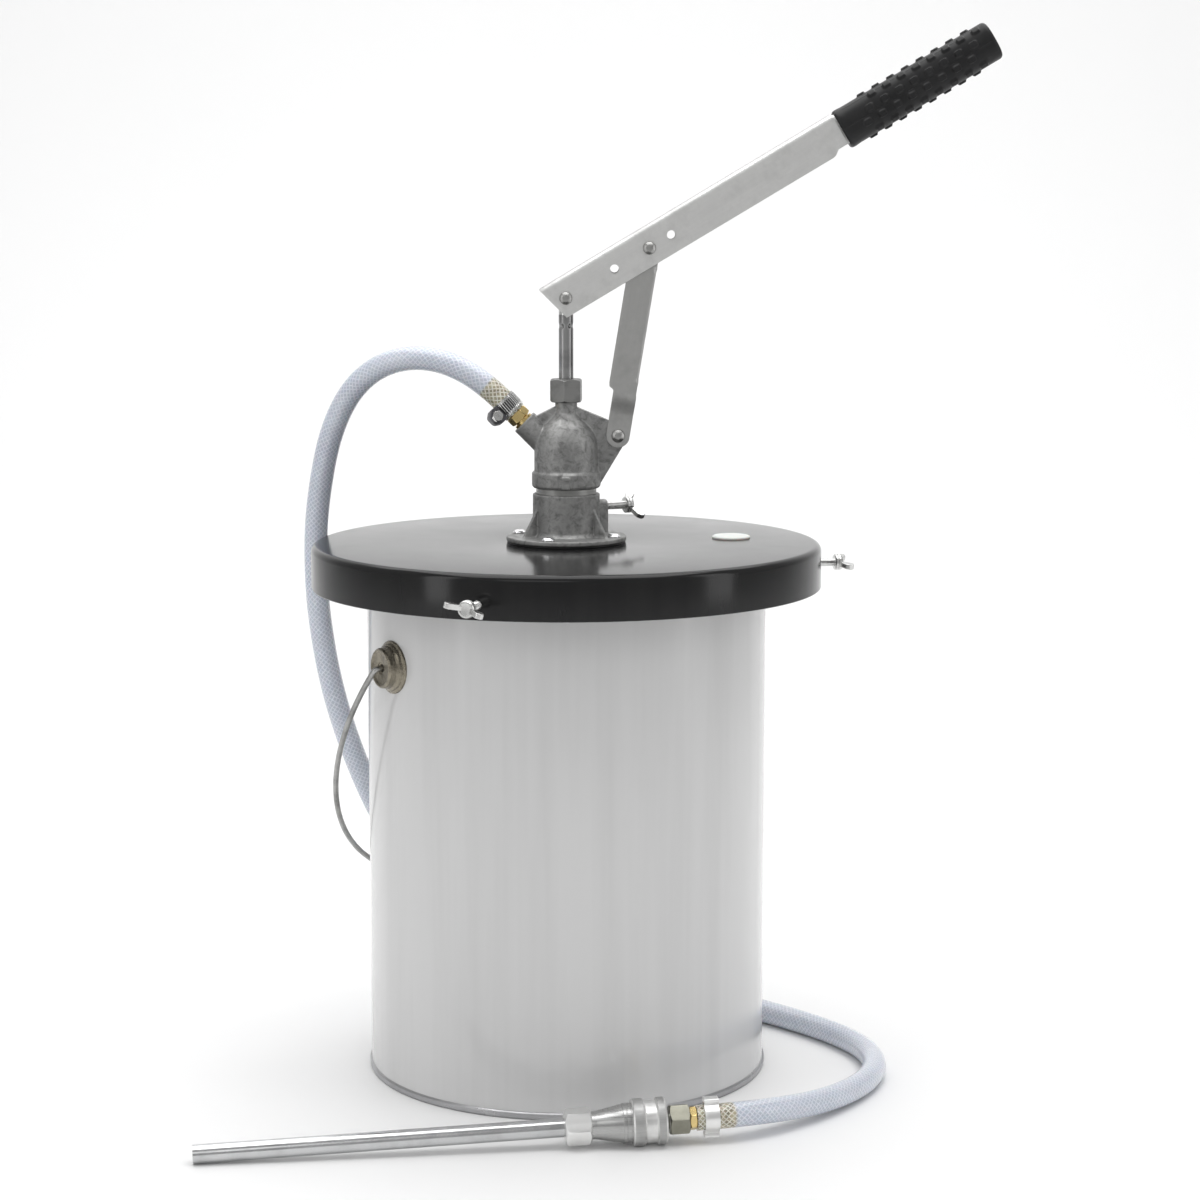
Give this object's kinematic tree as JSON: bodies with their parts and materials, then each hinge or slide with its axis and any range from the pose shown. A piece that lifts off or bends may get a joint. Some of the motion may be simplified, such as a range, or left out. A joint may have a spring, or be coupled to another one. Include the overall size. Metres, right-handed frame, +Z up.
{
  "type": "hand-lever pail pump",
  "caption": "Hand-lever piston pump for gear oil mounted through the wide lid of a round steel pail, with a delivery hose, quick coupler and straight spout.",
  "frame": {"origin": "on the floor, at the common axis of the pail and the pump", "axes": "+Z up along the pump, +X towards the lever's handle; the lever, link and outlet lie in the XZ plane"},
  "size_m": [0.5504, 0.4186, 0.7491],
  "materials": {
    "pail_paint": "glossy white enamel on thin steel",
    "tinplate": "bright tinplate and zinc",
    "lid_paint": "glossy black enamel",
    "zinc_steel": "zinc-plated steel",
    "bright_steel": "polished or chromed steel",
    "barrel_steel": "drawn steel tube",
    "cast_alloy": "as-cast light alloy",
    "dark_steel": "darkened steel",
    "black_rubber": "matt moulded rubber",
    "packing": "waxed braided packing",
    "brass": "turned brass",
    "pvc": "clear braided hose",
    "white_plastic": "moulded polyethylene",
    "olive_steel": "olive zinc plate"
  },
  "bodies": {
    "pail_and_pump": {"pail_body": "pail_paint", "pail_base": "tinplate", "bail_ears": "zinc_steel", "lid": "lid_paint", "lid_nuts": "zinc_steel", "flange_gasket": "black_rubber", "base_flange": "cast_alloy", "flange_rivets": "bright_steel", "barrel": "barrel_steel", "head_seal": "black_rubber", "pump_head": "cast_alloy", "packing_nut": "zinc_steel", "gland_packing": "packing", "foot_valve_body": "cast_alloy", "foot_stop_pin": "zinc_steel", "suction_strainer": "zinc_steel", "head_pin": "zinc_steel", "outlet_barb": "brass", "hose_clamp_band": "zinc_steel", "hose_clamp_housing": "dark_steel", "hose_clamp_screw": "zinc_steel", "hose": "pvc", "ear_clamp": "bright_steel", "spout_barb": "brass", "hex_adaptor": "olive_steel", "coupler_nipple": "bright_steel", "coupler_seal": "black_rubber", "coupler_body": "bright_steel", "coupler_balls": "bright_steel", "coupler_spring": "bright_steel", "spout_nut": "bright_steel", "spout_tube": "bright_steel"},
    "plunger": {"plunger_rod": "bright_steel", "rod_end": "zinc_steel", "piston_body": "brass", "piston_cups": "black_rubber", "piston_nut": "zinc_steel"},
    "piston_check": {"piston_ball": "bright_steel"},
    "foot_check": {"foot_ball": "bright_steel"},
    "lever": {"lever_channel": "zinc_steel", "lever_grip": "black_rubber", "rod_pin": "zinc_steel", "link_pin": "zinc_steel"},
    "link": {"link_strap": "zinc_steel"},
    "bail": {"bail_wire": "zinc_steel"},
    "front_lid_screw": {"lid_screw_1": "zinc_steel"},
    "right_lid_screw": {"lid_screw_2": "zinc_steel"},
    "back_lid_screw": {"lid_screw_3": "zinc_steel"},
    "barrel_screw": {"clamp_screw": "zinc_steel"},
    "vent": {"vent_plug": "white_plastic"},
    "coupler_ring": {"coupler_sleeve": "bright_steel"}
  },
  "joints": [
    {"name": "lever_swing", "type": "hinge", "parent": "plunger", "child": "lever", "pos_m": [0, 0, 0.55664], "axis": [0, -1, 0], "range_deg": [-45, 14]},
    {"name": "plunger_slide", "type": "slide", "parent": "pail_and_pump", "child": "plunger", "axis": [0, 0, 1], "range_m": [-0.0148, 0.0472]},
    {"name": "link_rock", "type": "hinge", "parent": "pail_and_pump", "child": "link", "pos_m": [0.037, 0, 0.459], "axis": [0, 1, 0], "range_deg": [-2, 6]},
    {"name": "bail_swing", "type": "hinge", "parent": "pail_and_pump", "child": "bail", "pos_m": [0, 0, 0.3045], "axis": [0.8387, 0.5446, 0], "range_deg": [0, 55]},
    {"name": "piston_check_lift", "type": "slide", "parent": "plunger", "child": "piston_check", "axis": [0, 0, 1], "range_m": [0, 0.005]},
    {"name": "foot_check_lift", "type": "slide", "parent": "pail_and_pump", "child": "foot_check", "axis": [0, 0, 1], "range_m": [0, 0.005]},
    {"name": "coupler_ring_pull", "type": "slide", "parent": "pail_and_pump", "child": "coupler_ring", "axis": [-0.9914, -0.127, -0.0313], "range_m": [0, 0.0045], "stiffness_N_per_m": 1200, "springref_m": -0.003, "deforming": ["coupler_spring"]},
    {"name": "front_lid_screw_travel", "type": "slide", "parent": "pail_and_pump", "child": "front_lid_screw", "axis": [-0.309, -0.9511, 0], "range_m": [0, 0.012]},
    {"name": "right_lid_screw_travel", "type": "slide", "parent": "pail_and_pump", "child": "right_lid_screw", "axis": [0.9781, 0.2079, 0], "range_m": [0, 0.012]},
    {"name": "back_lid_screw_travel", "type": "slide", "parent": "pail_and_pump", "child": "back_lid_screw", "axis": [-0.6691, 0.7431, 0], "range_m": [0, 0.012]},
    {"name": "barrel_screw_travel", "type": "slide", "parent": "pail_and_pump", "child": "barrel_screw", "axis": [0.9063, 0.4226, 0], "range_m": [0, 0.008]},
    {"name": "vent_lift", "type": "slide", "parent": "pail_and_pump", "child": "vent", "axis": [0, 0, 1], "range_m": [0, 0.012]}
  ],
  "couplings": [
    {"joint": "plunger_slide", "follows": "lever_swing", "m_per_rad": -0.0599},
    {"joint": "link_rock", "follows": "lever_swing", "ratio": -0.129}
  ]
}
